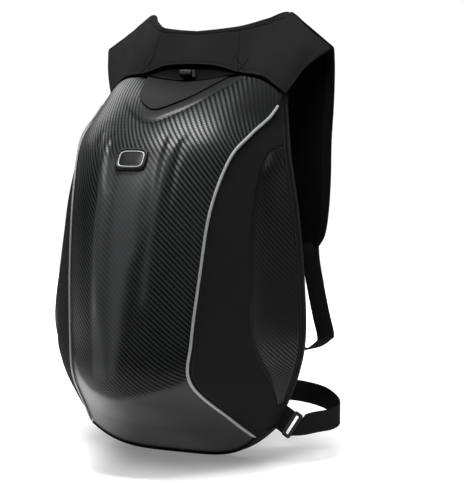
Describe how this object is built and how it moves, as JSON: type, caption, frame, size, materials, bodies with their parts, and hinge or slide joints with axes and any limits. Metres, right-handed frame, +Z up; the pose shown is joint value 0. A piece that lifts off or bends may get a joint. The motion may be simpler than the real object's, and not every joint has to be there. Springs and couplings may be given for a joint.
{
  "type": "hard shell backpack",
  "caption": "Backpack with a domed, ribbed front shell, cloth side panels with piping, a shoulder yoke, padded straps, strap webbing and a looped waist belt.",
  "frame": {"origin": "where the wearer's shoulders carry the yoke and straps, on the middle line", "axes": "+X towards the wearer's right, +Y towards the wearer's front, +Z up; the shell faces -Y"},
  "size_m": [0.3987, 0.3269, 0.5892],
  "materials": {
    "carbon_shell": "satin, moulded with raised diagonal ribs",
    "satin_shell": "smooth satin",
    "panel_cloth": "fine woven nylon, matt",
    "yoke_cloth": "brushed stretch cloth, matt",
    "strap_cloth": "padded mesh and woven cloth",
    "piping": "reflective grey cord",
    "webbing": "woven webbing",
    "black_plastic": "moulded, fine texture",
    "steel": "brushed"
  },
  "bodies": {
    "root": {"front_shell": "carbon_shell", "bottom_band": "panel_cloth", "side_panel_left": "panel_cloth", "side_panel_right": "panel_cloth", "side_gusset_left": "carbon_shell", "side_gusset_right": "carbon_shell", "edge_band_left": "panel_cloth", "edge_band_right": "panel_cloth", "piping_left": "piping", "piping_right": "piping", "cover_panel": "satin_shell", "badge_rim": "black_plastic", "badge_plate": "satin_shell", "back_panel": "strap_cloth", "yoke": "yoke_cloth", "strap_left": "strap_cloth", "strap_right": "strap_cloth", "slit_flap": "yoke_cloth", "pull_tab": "webbing", "tab_clip": "steel", "strap_webbing_left": "webbing", "strap_webbing_right": "webbing", "belt_tab_left": "webbing", "belt_tab_right": "webbing", "belt_ring_left": "black_plastic", "belt_ring_right": "black_plastic", "waist_belt_left": "webbing", "waist_belt_right": "webbing"}
  },
  "joints": []
}
